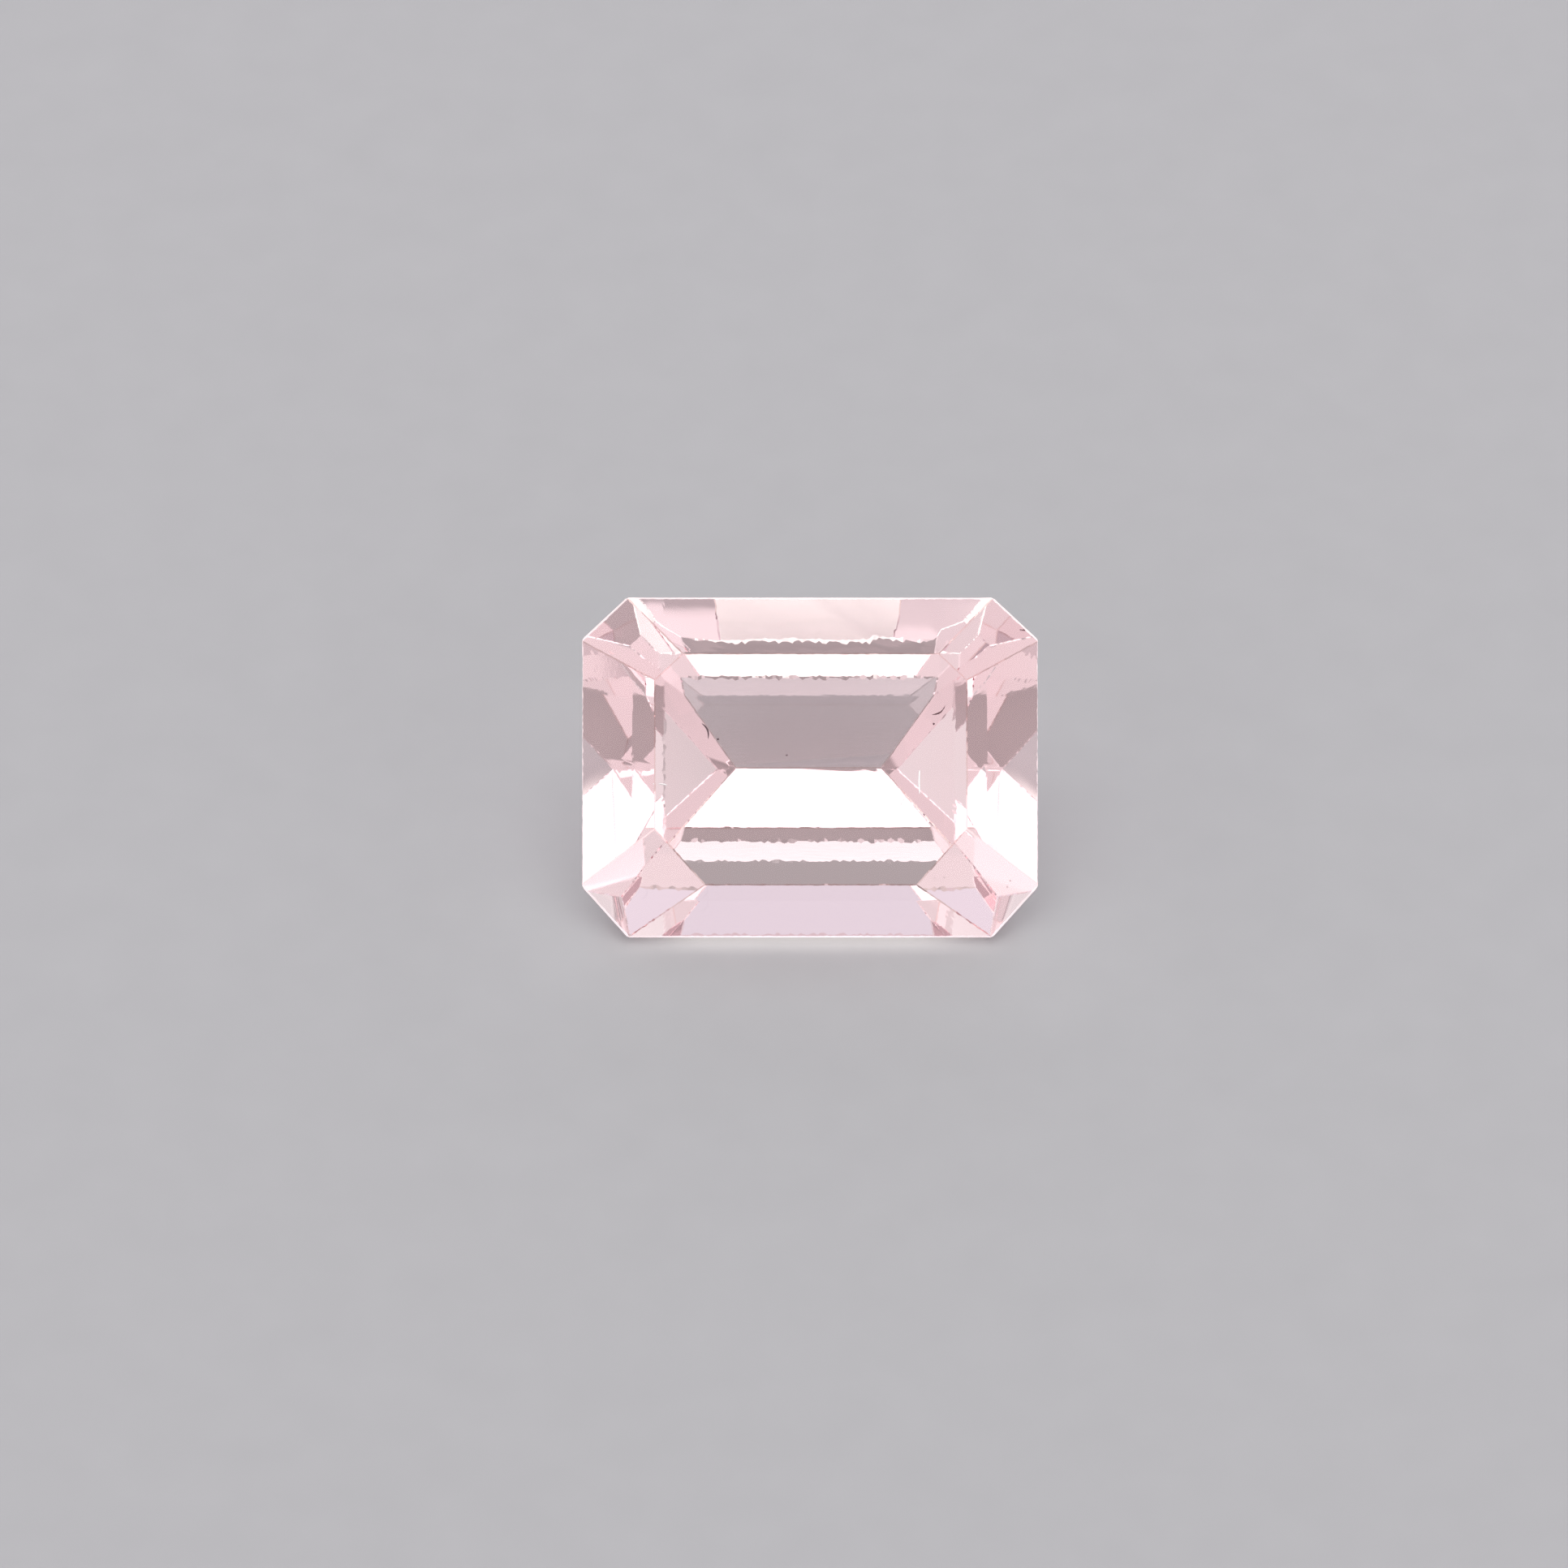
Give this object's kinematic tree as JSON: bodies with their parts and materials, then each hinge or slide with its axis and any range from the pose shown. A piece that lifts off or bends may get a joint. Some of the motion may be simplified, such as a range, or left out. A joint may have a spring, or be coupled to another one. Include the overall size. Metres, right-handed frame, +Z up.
{
  "type": "emerald-cut morganite gemstone",
  "caption": "Loose emerald-cut morganite, a clear pale pink step-cut stone with cut corners, lying on a lower pavilion facet with its table tilted up to the viewer.",
  "frame": {"origin": "middle of the stone's bounding box, on the surface that it lies on", "axes": "+X along the stone's length, +Z up; the table faces -Y and up at about 45 degrees"},
  "size_m": [0.0082, 0.0046, 0.0044],
  "materials": {
    "beryl": "clear polished pale pink beryl, with a finely ground girdle"
  },
  "bodies": {
    "root": {"morganite": "beryl"}
  },
  "joints": []
}
